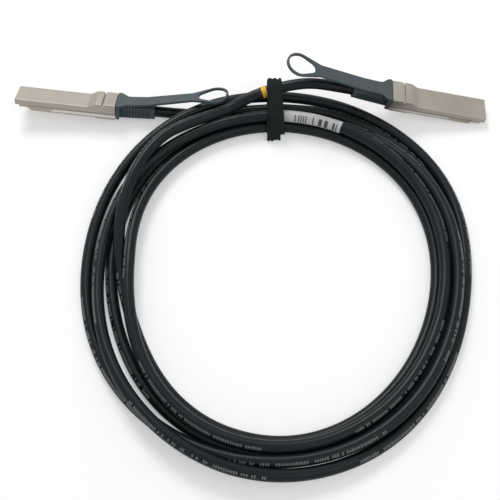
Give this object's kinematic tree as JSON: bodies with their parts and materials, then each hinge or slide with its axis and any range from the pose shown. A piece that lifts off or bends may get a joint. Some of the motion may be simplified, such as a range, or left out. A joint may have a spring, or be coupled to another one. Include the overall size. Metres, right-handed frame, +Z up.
{
  "type": "direct attach copper cable",
  "caption": "Passive copper cable assembly: two die-cast plugs with spring-return pull-tab latches, joined by a round black cable in a tied coil.",
  "frame": {"origin": "on the surface the cable lies on, under the middle of the hook-and-loop tie", "axes": "+Z up from the surface; the coil lies towards -Y and the two plugs point towards -X and +X"},
  "size_m": [0.3456, 0.2883, 0.0507],
  "materials": {
    "plated_zinc": "satin nickel plate on die-cast zinc",
    "card_laminate": "solder mask on glass laminate",
    "gold_plate": "gold plate",
    "chip_black": "moulded epoxy",
    "spring_steel": "stamped stainless steel",
    "slate_rubber": "matt moulded elastomer",
    "ferrule_brass": "turned",
    "wire_film": "screening film",
    "jacket_black": "satin extruded jacket",
    "hook_and_loop": "woven loops",
    "marker_yellow": "tape",
    "label_film": "printed film"
  },
  "bodies": {
    "cable": {"upper_shell_a": "plated_zinc", "lower_shell_a": "plated_zinc", "paddle_card_a": "card_laminate", "contact_pads_a": "gold_plate", "memory_chip_a": "chip_black", "return_springs_a": "spring_steel", "strain_boot_a": "slate_rubber", "crimp_ferrule_a": "ferrule_brass", "inner_wires_a": "wire_film", "shell_screws_a": "spring_steel", "upper_shell_b": "plated_zinc", "lower_shell_b": "plated_zinc", "paddle_card_b": "card_laminate", "contact_pads_b": "gold_plate", "memory_chip_b": "chip_black", "return_springs_b": "spring_steel", "strain_boot_b": "slate_rubber", "crimp_ferrule_b": "ferrule_brass", "inner_wires_b": "wire_film", "shell_screws_b": "spring_steel", "cable_coil": "jacket_black", "cable_lead_a": "jacket_black", "cable_lead_b": "jacket_black", "cable_tie": "hook_and_loop", "marker_band": "marker_yellow", "cable_label": "label_film"},
    "release_a": {"release_slider_a": "spring_steel", "pull_tab_a": "slate_rubber"},
    "release_b": {"release_slider_b": "spring_steel", "pull_tab_b": "slate_rubber"}
  },
  "joints": [
    {"name": "release_slide_a", "type": "slide", "parent": "cable", "child": "release_a", "axis": [0.9938, -0.0695, -0.0872], "range_m": [0, 0.003], "stiffness_N_per_m": 1200, "springref_m": -0.001, "deforming": ["return_springs_a"]},
    {"name": "release_slide_b", "type": "slide", "parent": "cable", "child": "release_b", "axis": [-0.9798, 0.0599, 0.1908], "range_m": [0, 0.003], "stiffness_N_per_m": 1200, "springref_m": -0.001, "deforming": ["return_springs_b"]}
  ]
}
